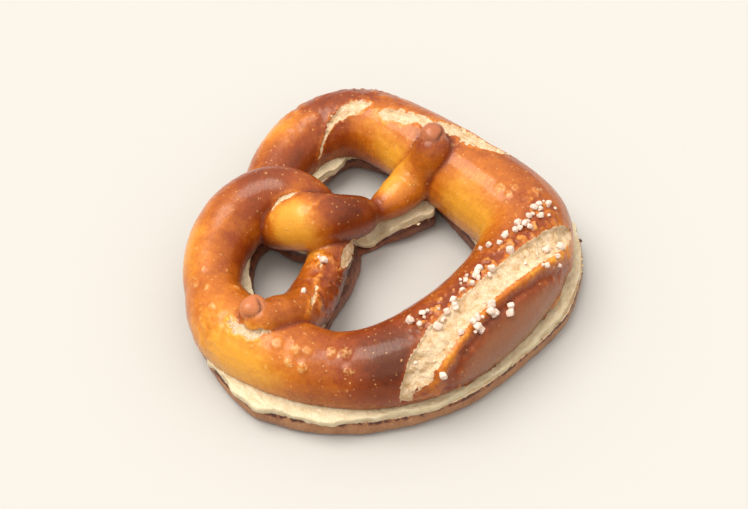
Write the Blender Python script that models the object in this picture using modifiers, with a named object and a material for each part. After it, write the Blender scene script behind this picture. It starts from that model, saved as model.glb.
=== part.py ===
"""A soft pretzel, sliced level and filled with butter.

One strand of dough is laid in a ring, twisted once and folded back so that its two thin arms
cross the ring and their tips rest on the belly. The knife passes level through the whole knot:
base_slice lies on the board, butter is the layer on its cut face, and top_slice is the rest,
with the long slash along the belly.

Lengths below are in millimetres and are turned into metres where a shape is made. The origin is
at the middle of the footprint, +X runs along the belly, and +Y points away from it.
"""

import math

import bmesh
import bpy
import numpy as np
from mathutils import Matrix, Vector

MM = 0.001

# The layers, from the board upwards
BASE_HEIGHT = 9.0
BUTTER_THICKNESS = 2.4
LAYER_GAP = 0.3
ROOM_ABOVE = 60.0
SHEET_SPAN = 240.0

# The strand from one tip to the other:
# name, x, y, height of its middle, its radius, radius of its foot, foot's shift to its right
STRAND = (
    ("left tip", -58.6, 9.5, 37.5, 5.0, 0.0, 0.0),
    ("left knob", -58.3, 7.1, 34.0, 8.0, 0.0, 0.0),
    ("left arm on the belly", -52.3, 3.1, 28.0, 9.8, 8.0, 0.0),
    ("left arm bends", -27.8, 5.6, 16.0, 10.0, 9.0, 0.0),
    ("left arm crosses the ring", -11.9, 11.7, 16.0, 9.0, 10.2, 1.0),
    ("under the fold", -0.3, 20.1, 17.0, 10.0, 10.9, 1.8),
    ("over the far strand", 0.2, 40.6, 28.0, 11.5, 8.0, 0.0),
    ("left shoulder", -6.8, 50.6, 25.0, 12.7, 10.0, 0.0),
    ("left side, upper", -20.7, 54.0, 20.4, 14.2, 11.0, 0.0),
    ("left side, lower", -52.1, 37.9, 17.6, 11.6, 14.6, -3.4),
    ("left end of the belly", -60.8, 20.6, 17.5, 15.7, 15.5, -3.2),
    ("left corner of the belly", -59.0, -4.2, 17.8, 16.1, 18.8, 3.2),
    ("belly, left", -52.3, -23.4, 18.0, 15.0, 17.2, 2.6),
    ("belly before the slash", -39.3, -39.0, 19.2, 16.6, 16.6, 1.9),
    ("belly, start of the slash", -16.3, -50.9, 20.5, 19.0, 18.8, 1.8),
    ("belly, middle", 11.7, -54.4, 20.5, 19.6, 20.5, 1.6),
    ("belly, right of the middle", 30.5, -52.6, 20.2, 19.8, 22.3, 2.9),
    ("belly, end of the slash", 53.2, -39.9, 20.0, 19.6, 22.0, 2.5),
    ("right end of the belly", 57.2, -24.9, 19.7, 19.3, 20.0, 3.8),
    ("right side", 60.6, 18.0, 19.2, 17.2, 12.0, 4.2),
    ("right shoulder", 52.5, 54.7, 18.3, 15.1, 12.4, -0.3),
    ("far side", 36.6, 63.3, 16.3, 14.1, 15.4, -2.4),
    ("under the left shoulder", -0.8, 51.6, 13.5, 12.4, 14.5, -2.0),
    ("fold rises", -8.3, 38.1, 20.0, 11.3, 6.0, -2.5),
    ("fold", -5.8, 26.1, 28.0, 12.2, 6.0, -3.0),
    ("fold narrows", 14.2, 15.5, 20.5, 8.6, 7.0, -2.0),
    ("neck", 22.2, 14.3, 17.0, 4.8, 7.5, 0.0),
    ("right arm begins", 32.4, 11.7, 17.8, 8.0, 10.9, 0.0),
    ("right arm", 43.9, 10.5, 20.0, 9.6, 13.5, 1.0),
    ("right arm on the belly", 49.9, 7.9, 28.0, 9.0, 8.0, 0.0),
    ("right knob", 52.6, 7.3, 35.0, 8.5, 0.0, 0.0),
    ("right tip", 54.9, 9.1, 38.0, 6.8, 0.0, 0.0),
)
STEPS_ALONG = 220
RING_SEGMENTS = 6

# The buttons that the tips end in: which end, how high above the tip, and the radius
NUBS = ((0, -0.6, 5.3), (-1, 2.4, 5.4))

# The foot of the strand, which the base slice and the butter are cut from
LEAST_FOOT = 5.0
FOOT_MIDDLE = 5.0
FOOT_FLATTENING = 0.7
BUTTER_INSET = 1.6
BUTTER_RIPPLE = 0.9
BUTTER_RIPPLES = (23.0, 41.0)

# The slash along the belly: its ends and how far its middle bows outwards
SLASH_START = (-42.6, -55.0)
SLASH_END = (54.4, -60.0)
SLASH_BOW = 1.5
SLASH_RADIUS = 7.0
SLASH_DEPTH = 2.2
SLASH_END_LIFT = 1.2
SLASH_STEPS = 24
LIP_OFFSET = 6.0
LIP_RADIUS = 1.7
LIP_END_RADIUS = 0.6
LIP_RISE = 0.3

# Fineness of the solids
VOXEL = 1.7
SMOOTHINGS = 6
TOP_KEEP = 0.115
BASE_KEEP = 0.036
BUTTER_KEEP = 0.036

CRUST = ("crust", (0.52, 0.19, 0.035), 0.32)
BASE_CRUST = ("base crust", (0.36, 0.12, 0.030), 0.45)
BUTTER_CREAM = ("butter", (0.84, 0.77, 0.50), 0.40)


def clear_scene():
    """Remove every object that the new file starts with."""
    for thing in list(bpy.data.objects):
        bpy.data.objects.remove(thing, do_unlink=True)


def new_collection(name):
    """Return an empty collection that is linked to the scene."""
    collection = bpy.data.collections.new(name)
    bpy.context.scene.collection.children.link(collection)
    return collection


def material(finish):
    """Return a Principled material from a name, a colour and a roughness."""
    name, colour, roughness = finish
    made = bpy.data.materials.new(name)
    made.use_nodes = True
    shader = made.node_tree.nodes["Principled BSDF"]
    shader.inputs["Base Color"].default_value = (*colour, 1.0)
    shader.inputs["Roughness"].default_value = roughness
    shader.inputs["Metallic"].default_value = 0.0
    return made


def natural_spline(knots, values, places):
    """Return a smooth curve through values at knots, read at the given places."""
    count = len(knots)
    gaps = np.diff(knots)
    slopes = np.diff(values) / gaps
    system = np.eye(count)
    right = np.zeros(count)
    for row in range(1, count - 1):
        system[row, row - 1] = gaps[row - 1]
        system[row, row] = 2.0 * (gaps[row - 1] + gaps[row])
        system[row, row + 1] = gaps[row]
        right[row] = 6.0 * (slopes[row] - slopes[row - 1])
    bend = np.linalg.solve(system, right)
    span = np.clip(np.searchsorted(knots, places) - 1, 0, count - 2)
    gap = gaps[span]
    before = knots[span + 1] - places
    after = places - knots[span]
    ends = values[span] * before / gap + values[span + 1] * after / gap
    curve = bend[span] * before * (before ** 2 / gap - gap) / 6.0
    return ends + curve + bend[span + 1] * after * (after ** 2 / gap - gap) / 6.0


def strand_course():
    """Return the strand's middle line, radius, foot radius and foot shift at even steps."""
    rows = np.array([station[1:] for station in STRAND])
    runs = np.linalg.norm(np.diff(rows[:, :3], axis=0), axis=1)
    knots = np.concatenate([[0.0], np.cumsum(runs)])
    places = np.linspace(0.0, knots[-1], STEPS_ALONG)
    middle = np.stack([natural_spline(knots, rows[:, axis], places) for axis in range(3)], axis=1)
    sizes = [np.interp(places, knots, rows[:, column]) for column in range(3, 6)]
    return middle, *sizes


def add_tube(name, points, radii, collection):
    """Return a closed mesh tube along points, in metres, with a radius at each of them."""
    data = bpy.data.curves.new(name, "CURVE")
    data.dimensions = "3D"
    data.bevel_depth = MM
    data.bevel_resolution = RING_SEGMENTS
    data.use_fill_caps = True
    spline = data.splines.new("POLY")
    spline.points.add(len(points) - 1)
    for target, point, radius in zip(spline.points, points, radii):
        target.co = (*(Vector(point) * MM), 1.0)
        target.radius = radius
    curve = bpy.data.objects.new(name, data)
    collection.objects.link(curve)
    bpy.context.view_layer.update()
    mesh = bpy.data.meshes.new_from_object(curve.evaluated_get(bpy.context.evaluated_depsgraph_get()))
    bpy.data.objects.remove(curve, do_unlink=True)
    bpy.data.curves.remove(data)
    shape = bmesh.new()
    shape.from_mesh(mesh)
    bmesh.ops.remove_doubles(shape, verts=shape.verts, dist=0.00001)
    bmesh.ops.recalc_face_normals(shape, faces=shape.faces)
    shape.to_mesh(mesh)
    shape.free()
    return mesh


def add_nub(place, radius):
    """Return the mesh of the small button that the tip of an arm ends in."""
    mesh = bpy.data.meshes.new("nub")
    shape = bmesh.new()
    bmesh.ops.create_uvsphere(shape, u_segments=20, v_segments=12, radius=radius * MM)
    bmesh.ops.translate(shape, verts=shape.verts, vec=Vector(place) * MM)
    shape.to_mesh(mesh)
    shape.free()
    return mesh


def add_object(name, meshes, finish, collection):
    """Return one object that holds all the meshes, with its own material."""
    shape = bmesh.new()
    for mesh in meshes:
        shape.from_mesh(mesh)
        bpy.data.meshes.remove(mesh)
    joined = bpy.data.meshes.new(name)
    shape.to_mesh(joined)
    shape.free()
    joined.materials.append(material(finish))
    made = bpy.data.objects.new(name, joined)
    collection.objects.link(made)
    return made


def add_box(name, low, high, collection):
    """Return a wide flat box between two heights, kept as a guide for a Boolean."""
    mesh = bpy.data.meshes.new(name)
    shape = bmesh.new()
    bmesh.ops.create_cube(shape, size=1.0)
    size = Matrix.Diagonal((SHEET_SPAN * MM, SHEET_SPAN * MM, (high - low) * MM, 1.0))
    place = Matrix.Translation((0.0, 0.0, (low + high) / 2.0 * MM))
    bmesh.ops.transform(shape, matrix=place @ size, verts=shape.verts)
    shape.to_mesh(mesh)
    shape.free()
    return add_guide(name, mesh, collection)


def add_guide(name, mesh, collection):
    """Return a hidden object that only cuts others."""
    guide = bpy.data.objects.new(name, mesh)
    guide.hide_render = True
    guide.display_type = "WIRE"
    collection.objects.link(guide)
    return guide


def fuse(thing, keep):
    """Run the parts of a mesh into one skin, soften it and thin out its faces."""
    skin = thing.modifiers.new("one skin", "REMESH")
    skin.mode = "VOXEL"
    skin.voxel_size = VOXEL * MM
    soften = thing.modifiers.new("soften", "SMOOTH")
    soften.factor = 0.5
    soften.iterations = SMOOTHINGS
    thin = thing.modifiers.new("thin out", "DECIMATE")
    thin.ratio = keep


def cut(thing, guide, operation):
    """Cut an object with a guide, or keep what lies inside the guide."""
    boolean = thing.modifiers.new(guide.name, "BOOLEAN")
    boolean.operation = operation
    boolean.solver = "EXACT"
    boolean.object = guide


def height_over(middle, radius, x, y):
    """Return the height of the belly's crust above a point of its footprint."""
    away = np.hypot(middle[:, 0] - x, middle[:, 1] - y)
    over = radius ** 2 - away ** 2
    return float(np.max(np.where(over > 0.0, middle[:, 2] + np.sqrt(np.abs(over)), 0.0)))


def slash_course(middle, radius, offset, rise, sink):
    """Return points along the slash, offset outwards, and sunk by sink from rise off the crust."""
    start = Vector(SLASH_START)
    end = Vector(SLASH_END)
    outwards = Vector((end.y - start.y, start.x - end.x)).normalized()
    points = []
    for step in range(SLASH_STEPS + 1):
        along = step / SLASH_STEPS
        swollen = math.sin(math.pi * along)
        place = start.lerp(end, along) + outwards * (SLASH_BOW * swollen + offset * swollen ** 0.5)
        height = height_over(middle, radius, place.x, place.y) + rise - sink * swollen ** 0.5
        points.append((place.x, place.y, height))
    return points


def swell(most, least):
    """Return a radius at each step of the slash, largest in the middle and small at its ends."""
    return [least + (most - least) * math.sin(math.pi * step / SLASH_STEPS) ** 0.5
            for step in range(SLASH_STEPS + 1)]


def foot_tube(middle, foot, shift, inset, ripple, level, flattening, collection):
    """Return the mesh of the strand's foot: wide, low and set to one side where the dough spread."""
    lies = foot >= LEAST_FOOT
    line = middle[lies]
    ahead = np.gradient(line[:, :2], axis=0)
    ahead /= np.linalg.norm(ahead, axis=1)[:, None]
    aside = np.stack([ahead[:, 1], -ahead[:, 0]], axis=1)
    steps = np.linspace(0.0, 2.0 * math.pi, len(line))
    waves = sum(np.sin(count * steps) for count in BUTTER_RIPPLES) / len(BUTTER_RIPPLES)
    points = np.column_stack([line[:, :2] + aside * shift[lies][:, None], np.zeros(len(line))])
    mesh = add_tube("foot", points, foot[lies] - inset + ripple * waves, collection)
    mesh.transform(Matrix.Translation((0.0, 0.0, level * MM)) @ Matrix.Diagonal((1.0, 1.0, flattening, 1.0)))
    return mesh


def build_base(course, parts, guides):
    """Lower slice: flat underneath, brown round its edge, with the level cut on top."""
    middle, _, foot, shift = course
    mesh = foot_tube(middle, foot, shift, 0.0, 0.0, FOOT_MIDDLE, FOOT_FLATTENING, guides)
    base = add_object("base_slice", [mesh], BASE_CRUST, parts)
    fuse(base, BASE_KEEP)
    cut(base, add_box("base layer", 0.0, BASE_HEIGHT, guides), "INTERSECT")


def build_butter(course, parts, guides):
    """Butter: a thin layer that runs through the whole knot, with a wavy spread edge."""
    middle, _, foot, shift = course
    low = BASE_HEIGHT + LAYER_GAP
    high = low + BUTTER_THICKNESS
    mesh = foot_tube(middle, foot, shift, BUTTER_INSET, BUTTER_RIPPLE, (low + high) / 2.0, 1.0, guides)
    butter = add_object("butter", [mesh], BUTTER_CREAM, parts)
    fuse(butter, BUTTER_KEEP)
    cut(butter, add_box("butter layer", low, high, guides), "INTERSECT")


def build_top(course, parts, guides):
    """Upper slice: the knot itself, with its tips, the slash and the lip that curls beside it."""
    middle, radius, _, _ = course
    strand = add_tube("strand", middle, radius, guides)
    nubs = [add_nub(middle[end] + (0.0, 0.0, rise), radius) for end, rise, radius in NUBS]
    lip_line = slash_course(middle, radius, LIP_OFFSET, LIP_RISE, 0.0)
    lip = add_tube("lip", lip_line, swell(LIP_RADIUS, LIP_END_RADIUS), guides)
    top = add_object("top_slice", [strand, *nubs, lip], CRUST, parts)
    fuse(top, TOP_KEEP)
    groove = slash_course(middle, radius, 0.0, SLASH_RADIUS + SLASH_END_LIFT, SLASH_DEPTH + SLASH_END_LIFT)
    cutter = add_tube("slash", groove, [SLASH_RADIUS] * len(groove), guides)
    cut(top, add_guide("slash", cutter, guides), "DIFFERENCE")
    low = BASE_HEIGHT + BUTTER_THICKNESS + 2.0 * LAYER_GAP
    cut(top, add_box("top layer", low, ROOM_ABOVE, guides), "INTERSECT")


def main():
    """Build the pretzel's three layers."""
    clear_scene()
    parts = new_collection("soft pretzel")
    guides = new_collection("guides")
    course = strand_course()
    build_base(course, parts, guides)
    build_butter(course, parts, guides)
    build_top(course, parts, guides)


main()
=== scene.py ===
"""A soft pretzel, sliced level and spread with butter: the finished surfaces of its layers.

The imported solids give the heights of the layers. The strand below runs where theirs does, and
carries a finer skin: glossy lye crust, the torn crumb of the slash and the cracks, butter that
was spread with a knife, coarse salt and loose crumbs. Lengths are in millimetres until a mesh
is made.
"""

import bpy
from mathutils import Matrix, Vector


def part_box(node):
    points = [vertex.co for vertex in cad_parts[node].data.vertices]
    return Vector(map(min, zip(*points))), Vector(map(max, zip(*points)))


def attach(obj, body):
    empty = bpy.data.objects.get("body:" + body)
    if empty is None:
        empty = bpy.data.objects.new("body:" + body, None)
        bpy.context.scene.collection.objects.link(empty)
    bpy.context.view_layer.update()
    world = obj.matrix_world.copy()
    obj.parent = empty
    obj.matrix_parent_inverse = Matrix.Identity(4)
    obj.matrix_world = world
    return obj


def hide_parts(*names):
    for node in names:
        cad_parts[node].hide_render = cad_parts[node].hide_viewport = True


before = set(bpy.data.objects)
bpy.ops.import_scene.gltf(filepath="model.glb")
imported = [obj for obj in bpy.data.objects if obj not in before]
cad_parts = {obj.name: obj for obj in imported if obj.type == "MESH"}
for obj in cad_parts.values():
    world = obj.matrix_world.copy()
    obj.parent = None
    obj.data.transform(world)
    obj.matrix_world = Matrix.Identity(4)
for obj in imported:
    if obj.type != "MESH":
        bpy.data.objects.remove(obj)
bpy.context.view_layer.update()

import itertools
import math

import bpy
import numpy as np
from bpy.props import FloatProperty, FloatVectorProperty, IntProperty, PointerProperty
from mathutils import Vector
from mathutils.bvhtree import BVHTree

bl_info = {
    "name": "Buttered Pretzel",
    "version": (1, 0, 0),
    "blender": (4, 5, 0),
    "location": "View3D > Sidebar > Pretzel",
    "description": "Builds a sliced, buttered soft pretzel around its solids",
    "category": "Add Mesh",
}

MM = 0.001

# The layers' heights, from the solids
BASE_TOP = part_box("base_slice")[1].z / MM
TOP_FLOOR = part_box("top_slice")[0].z / MM

# The strand from one tip to the other:
# name, x, y, height of its middle, its radius, radius of its foot, foot's shift to its right
STRAND = (
    ("left tip", -58.6, 9.5, 37.5, 5.0, 0.0, 0.0),
    ("left knob", -58.3, 7.1, 34.0, 8.0, 0.0, 0.0),
    ("left arm on the belly", -52.3, 3.1, 28.0, 9.8, 8.0, 0.0),
    ("left arm bends", -27.8, 5.6, 16.0, 10.0, 9.0, 0.0),
    ("left arm crosses the ring", -11.9, 11.7, 16.0, 9.0, 10.2, 1.0),
    ("under the fold", -0.3, 20.1, 17.0, 10.0, 10.9, 1.8),
    ("over the far strand", 0.2, 40.6, 28.0, 11.5, 8.0, 0.0),
    ("left shoulder", -6.8, 50.6, 25.0, 12.7, 10.0, 0.0),
    ("left side, upper", -20.7, 54.0, 20.4, 14.2, 11.0, 0.0),
    ("left side, lower", -52.1, 37.9, 17.6, 11.6, 14.6, -3.4),
    ("left end of the belly", -60.8, 20.6, 17.5, 15.7, 15.5, -3.2),
    ("left corner of the belly", -59.0, -4.2, 17.8, 16.1, 18.8, 3.2),
    ("belly, left", -52.3, -23.4, 18.0, 15.0, 17.2, 2.6),
    ("belly before the slash", -39.3, -39.0, 19.2, 16.6, 16.6, 1.9),
    ("belly, start of the slash", -16.3, -50.9, 20.5, 19.0, 18.8, 1.8),
    ("belly, middle", 11.7, -54.4, 20.5, 19.6, 20.5, 1.6),
    ("belly, right of the middle", 30.5, -52.6, 20.2, 19.8, 22.3, 2.9),
    ("belly, end of the slash", 53.2, -39.9, 20.0, 19.6, 22.0, 2.5),
    ("right end of the belly", 57.2, -24.9, 19.7, 19.3, 20.0, 3.8),
    ("right side", 60.6, 18.0, 19.2, 17.2, 12.0, 4.2),
    ("right shoulder", 52.5, 54.7, 18.3, 15.1, 12.4, -0.3),
    ("far side", 36.6, 63.3, 16.3, 14.1, 15.4, -2.4),
    ("under the left shoulder", -0.8, 51.6, 13.5, 12.4, 14.5, -2.0),
    ("fold rises", -8.3, 38.1, 20.0, 11.3, 6.0, -2.5),
    ("fold", -5.8, 26.1, 28.0, 12.2, 6.0, -3.0),
    ("fold narrows", 14.2, 15.5, 20.5, 8.6, 7.0, -2.0),
    ("neck", 22.2, 14.3, 17.0, 4.8, 7.5, 0.0),
    ("right arm begins", 32.4, 11.7, 17.8, 8.0, 10.9, 0.0),
    ("right arm", 43.9, 10.5, 20.0, 9.6, 13.5, 1.0),
    ("right arm on the belly", 49.9, 7.9, 28.0, 9.0, 8.0, 0.0),
    ("right knob", 52.6, 7.3, 35.0, 8.5, 0.0, 0.0),
    ("right tip", 54.9, 9.1, 38.0, 6.8, 0.0, 0.0),
)

# The strand is sampled at this many steps. Places more than OTHER_PASS steps apart lie on different
# passes of it, and a gap of FAR is as good as none.
STEPS_ALONG = 400
OTHER_PASS = 25
FAR = 50.0
POINTS_AT_ONCE = 4000

# A tube's segments in a quarter ring, the least radius of a foot that lies on the board, the height
# of the foot's middle, how flat it is pressed, and the lower slice's edge length
RING_SEGMENTS = 10
LEAST_FOOT = 5.0
FOOT_MIDDLE = 5.0
FOOT_FLATTENING = 0.7
BASE_FINENESS = 1.0

# The lower slice's wall is drawn in below this height, by this share of the square of the depth
FOOT_ROUNDED_TO = 2.6
FOOT_ROUNDING = 0.12

# The wall is lighter beyond the second of these distances from the middle of the knot; the darker wall
# inside the first is painted shade on the walls that face the holes under the upper slice
OUTER_WALL = (62.0, 68.0)

# The buttons that the tips end in: which end, how high above the tip, and the radius; then which way
# each one's top faces, and the cosine from there at which its crease curls
NUBS = ((0, -0.6, 5.3), (-1, 2.4, 5.4))
NUB_TOPS = ((-0.42, -0.05, 0.91), (-0.25, -0.2, 0.95))
NUB_CREASE = 0.62
NUB_STRETCH = (1.1, 1.0, 0.86)

# Where the lower slice's wall leans out at its foot: name, x, y, reach, and how far
FLARES = (
    ("left arm's wall", 4.9, 13.5, 13.0, 2.2),
    ("left arm's wall, lower", -13.1, 0.5, 13.0, 0.8),
    ("left loop, upper left", -21.1, 41.5, 12.0, 1.6),
    ("left loop, lower left", -37.1, 27.5, 14.0, 0.6),
    ("right loop, far wall", 34.2, 46.7, 14.0, -2.4),
    ("front of the belly, left", -61.1, -32.5, 26.0, 0.8),
)

# A flare moves the foot by its whole amount, and the cut face by this much less
FLARE_TURN = 1.6

# Where the cut face dips or rises: name, x, y, reach, and which share of its height is lost
SINKS = (
    ("under the neck", 16.4, 11.0, 8.0, 0.8),
    ("left arm's wall", 3.9, 11.5, 6.0, -0.3),
    ("left arm's wall, middle", -6.1, 5.5, 8.0, -0.3),
    ("left arm's wall, lower", -18.1, -2.5, 9.0, -0.3),
)

# Where the seam is closed, the butter stays back this far. It goes this deep into the slices.
BUTTER_HELD_BACK = 4.0
BUTTER_OVERLAP = 0.2

# Where the butter is smeared over the edge: name, x, y, reach, and how far
SMEARS = (
    ("front, left", -66.0, -36.0, 15.0, 2.2),
    ("front", -30.0, -66.0, 12.0, 1.2),
    ("left end", -77.0, 2.0, 12.0, 1.4),
    ("under the right arm", 36.0, -3.0, 12.0, 1.0),
)

# The two edges of the slash, seen from above
SLASH_INNER = ((-47.6, -54.1), (-39.1, -51.4), (-24.1, -50.0), (-7.6, -51.3), (7.9, -52.3),
               (26.9, -54.6), (42.4, -56.3), (53.4, -58.7), (57.4, -60.3))
SLASH_OUTER = ((-47.6, -54.7), (-36.6, -60.7), (-17.6, -60.7), (0.9, -61.0), (21.4, -63.3),
               (35.4, -64.9), (46.9, -65.3), (54.4, -62.9), (57.4, -60.9))
SLASH_FLOOR = 17.0
OUTSIDE_SLASH = 20.0

# How far outside an edge of the slash a band runs, and its width
LIP_BAND = (1.4, 1.5)
FOLD_BAND = (4.6, 1.1)
WRINKLED_BAND = (5.6, 2.4)
ROUGH_BAND = (4.0, 3.6)

# Torn patches: name, depth, and points along each with its half-width
TEARS = (
    ("seam on the far side", 0.4,
     ((27.6, 50.8, 13.5, 0.4), (29.1, 50.8, 18.0, 0.4), (34.8, 52.0, 25.0, 0.6), (38.7, 52.7, 28.0, 1.0))),
    ("far patch", 0.9,
     ((40.2, 53.0, 29.0, 1.3), (44.6, 52.8, 30.1, 2.5), (48.7, 51.0, 31.6, 3.1), (52.2, 48.4, 33.6, 2.7),
      (55.7, 44.2, 35.1, 1.2))),
    ("side patch", 0.9,
     ((54.8, 38.9, 35.2, 1.5), (56.2, 34.4, 35.2, 2.4), (58.0, 30.5, 35.5, 3.0), (60.2, 25.4, 36.0, 3.2),
      (61.7, 20.6, 37.1, 2.8), (62.7, 15.5, 37.3, 3.2))),
    ("patch beyond the right knob", 1.0,
     ((65.7, 11.7, 36.5, 3.4), (67.7, 4.6, 36.5, 5.2), (67.2, -2.3, 36.5, 5.5), (66.7, -8.3, 36.5, 3.6),
      (69.7, -14.8, 35.0, 2.8), (72.7, -20.3, 31.5, 1.2))),
    ("patch under the left knob", 0.8,
     ((-64.3, 18.7, 30.6, 0.5), (-65.8, 15.9, 30.0, 1.6), (-66.4, 11.5, 30.4, 2.6), (-66.1, 6.7, 31.5, 3.1),
      (-64.7, 2.2, 33.0, 2.7), (-61.8, -0.7, 33.4, 1.5))),
    ("crack round the fold", 0.4,
     ((-17.5, 36.9, 30.2, 0.1), (-15.1, 38.4, 31.9, 0.5), (-12.2, 39.4, 33.2, 0.8), (-9.3, 38.7, 34.8, 0.9),
      (-6.5, 36.9, 36.3, 0.7), (-3.4, 34.6, 37.2, 0.4), (-0.4, 31.2, 37.8, 0.0))),
    ("crack on the fold", 0.3,
     ((5.2, 23.5, 37.4, 0.3), (1.7, 23.6, 38.8, 0.25), (-2.2, 23.5, 39.9, 0.15), (-7.5, 23.1, 40.2, -0.1))),
    ("left arm's side", 0.7,
     ((6.2, 13.2, 14.0, 1.4), (3.0, 10.1, 17.6, 2.9), (-4.3, 6.2, 19.7, 3.2), (-10.4, 4.4, 21.2, 2.2),
      (-13.8, 3.7, 22.0, 0.9))),
    ("left arm's seam", 0.5,
     ((-15.3, 12.9, 24.6, 0.9), (-17.8, 9.7, 24.8, 0.6), (-21.3, 7.1, 25.0, -0.1), (-26.8, 3.9, 26.0, 0.2),
      (-33.3, -0.5, 27.7, 0.5), (-39.8, -4.2, 29.4, 0.6), (-45.3, -6.3, 30.8, 0.0))),
)

# Where the crust is rough with baked-in grains: name, x, y, reach, and how high the lumps stand
ROUGH = (
    ("left arm by the fold", -17.0, 9.5, 6.0, 0.9),
    ("left arm", -24.0, 3.0, 7.0, 0.7),
    ("left arm, lower", -33.0, -4.5, 6.0, 0.6),
    ("upper end of the slash", 51.5, -47.0, 7.0, 0.9),
    ("left rim", -72.0, 20.0, 12.0, 0.35),
    ("far rim, left", 42.0, 70.0, 15.0, 0.45),
    ("far rim, right", 63.0, 50.0, 14.0, 0.45),
)

# Where the crust is pinched into rings round the strand: name, place, reach
WRINKLED = (
    ("neck", 24.2, 13.7, 21.0, 7.0),
    ("fold by the neck", 17.2, 15.7, 22.0, 5.0),
    ("right arm", 38.2, 10.2, 26.0, 7.0),
)
WRINKLE_LENGTH = 1.9
WRINKLE_HEIGHT = 0.22

# Turns the angle round the strand into about a millimetre for each unit
AROUND_SCALE = 10.0

# How brown the crust is, with painted light and shade on top of its own browning: the sides turned away
# from the lamp are painted darker and those turned to it lighter. Each row: name, place, reach, and how
# much darker or lighter it is there
BROWNING_AND_PAINTED_LIGHT = (
    ("belly beside the slash", -41.1, -44.5, 30.0, 15.0, 0.62),
    ("left side, inner", -37.1, 43.5, 24.0, 13.0, 0.30),
    ("left shoulder", -7.1, 47.5, 36.0, 14.0, 0.30),
    ("far strand", 20.9, 56.5, 24.0, 14.0, 0.40),
    ("far corner", 52.9, 57.5, 24.0, 15.0, 0.35),
    ("fold, right", 3.9, 15.5, 34.0, 11.0, 0.40),
    ("fold narrows", 15.9, 13.5, 24.0, 9.0, 0.40),
    ("left arm's wall", -19.1, 0.5, 14.0, 12.0, 0.35),
    ("below the slash", 0.9, -72.5, 24.0, 30.0, 0.20),
    ("right side, outer", 72.9, -23.5, 22.0, 16.0, 0.15),
    ("far rim", 25.9, 69.5, 24.0, 13.0, -0.50),
    ("left rim, upper", -44.1, 56.5, 22.0, 18.0, -0.45),
    ("left rim", -71.1, 21.5, 22.0, 18.0, -0.30),
    ("inside of the right side", 42.9, 23.5, 26.0, 12.0, -0.50),
    ("inside of the belly's end", 42.9, -16.5, 26.0, 14.0, -0.50),
    ("inside of the corner", 36.9, -32.5, 24.0, 11.0, -0.45),
    ("fold, upper left", -13.1, 30.5, 36.0, 10.0, -0.50),
    ("fold, lower left", -14.1, 19.5, 26.0, 9.0, -0.45),
    ("right arm, top", 30.9, 15.5, 24.0, 10.0, -0.35),
    ("left rim, lower", -72.8, 5.0, 20.0, 15.0, -0.45),
    ("left arm's wall, upper", 2.9, 10.5, 12.5, 8.0, 0.5),
    ("left arm's wall, middle", -8.1, 4.5, 13.0, 8.0, 0.5),
    ("neck", 22.7, 14.3, 19.0, 4.0, 0.35),
    ("fold, left end", -17.8, 27.7, 32.0, 9.0, -0.35),
    ("left bottom", -71.0, -10.0, 22.0, 11.0, -0.20),
    ("right knob", 54.2, 8.7, 40.0, 8.0, 0.3),
    ("far strand's crest", 50.2, 40.7, 33.0, 9.0, -0.3),
)
EVEN_BROWN = 0.50

# Blisters: x, y, radius, height
BLISTERS = (
    (-64.9, 26.1, 2.2, 0.6), (-58.4, 34.5, 2.0, 0.5), (-58.9, 40.1, 2.0, 0.5), (-50.5, 26.1, 1.8, 0.4),
    (-63.5, -6.7, 2.8, 0.8), (-61.1, -14.2, 2.6, 0.8), (-58.8, -17.8, 2.2, 0.7), (-53.7, -25.5, 2.8, 0.9),
    (-50.6, -30.5, 3.0, 1.1), (-55.6, -35.5, 2.4, 0.9), (-64.5, -20.0, 2.8, 0.9), (-66.4, -14.5, 2.2, 0.6),
    (50.5, -29.0, 3.0, 0.6), (49.8, -33.8, 2.2, 0.5), (53.6, -34.3, 2.0, 0.5), (58.1, -41.6, 2.2, 0.5),
)
SMALL_BLISTERS = 150
SMALL_BLISTER_RADIUS = (0.5, 1.1)
SMALL_BLISTER_HEIGHT = (0.12, 0.3)
BLISTERED_REACH = 72.0

# Where coarse salt lies: name, x, y, reach, how many grains
SALTED = (
    ("crust, upper end", 51.2, -46.3, 3.6, 6),
    ("crust, beyond the upper end", 55.2, -51.3, 2.0, 2),
    ("crust beside the upper end", 44.7, -48.3, 2.4, 4),
    ("big grains on the crust", 38.7, -48.6, 2.4, 5),
    ("crust, right", 31.7, -46.8, 1.8, 3),
    ("crust, right of the middle", 24.7, -43.3, 2.6, 3),
    ("crumb, right", 25.2, -53.3, 0.6, 1),
    ("crumb, right of the middle", 13.2, -51.3, 2.8, 3),
    ("crumb, middle", 6.7, -48.8, 2.6, 4),
    ("crumb and crust, middle", 0.2, -49.8, 3.2, 5),
    ("crumb, left of the middle", -8.8, -49.3, 2.6, 3),
    ("heap on the crumb", -16.3, -50.8, 1.8, 5),
    ("crust, left", -19.3, -45.3, 2.4, 3),
    ("crust, far left", -25.8, -44.8, 2.2, 2),
    ("crumb, left", -21.8, -52.3, 0.8, 1),
    ("crumb, far left", -36.8, -53.3, 0.4, 1),
    ("lip, upper end", 38.2, -62.3, 1.4, 2),
    ("end of the lip", 44.2, -63.3, 0.5, 1),
    ("lip, right", 26.2, -61.3, 1.0, 1),
    ("below the lip, right", 30.2, -65.8, 1.2, 2),
    ("below the end of the lip", 37.2, -67.3, 0.8, 2),
    ("heap on the lip", -1.8, -62.5, 2.0, 6),
    ("below the lip, middle", 4.7, -66.3, 1.5, 2),
    ("lip, left", -10.8, -62.7, 1.8, 6),
    ("left end of the lip", -17.3, -60.3, 0.6, 1),
    ("below the slash, left", -32.8, -63.3, 0.4, 1),
    ("left tip of the slash", -40.8, -60.3, 0.4, 1),
    ("left arm by the fold", -16.3, 11.2, 1.4, 4),
    ("left arm", -35.8, 3.7, 0.4, 1),
)

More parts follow.
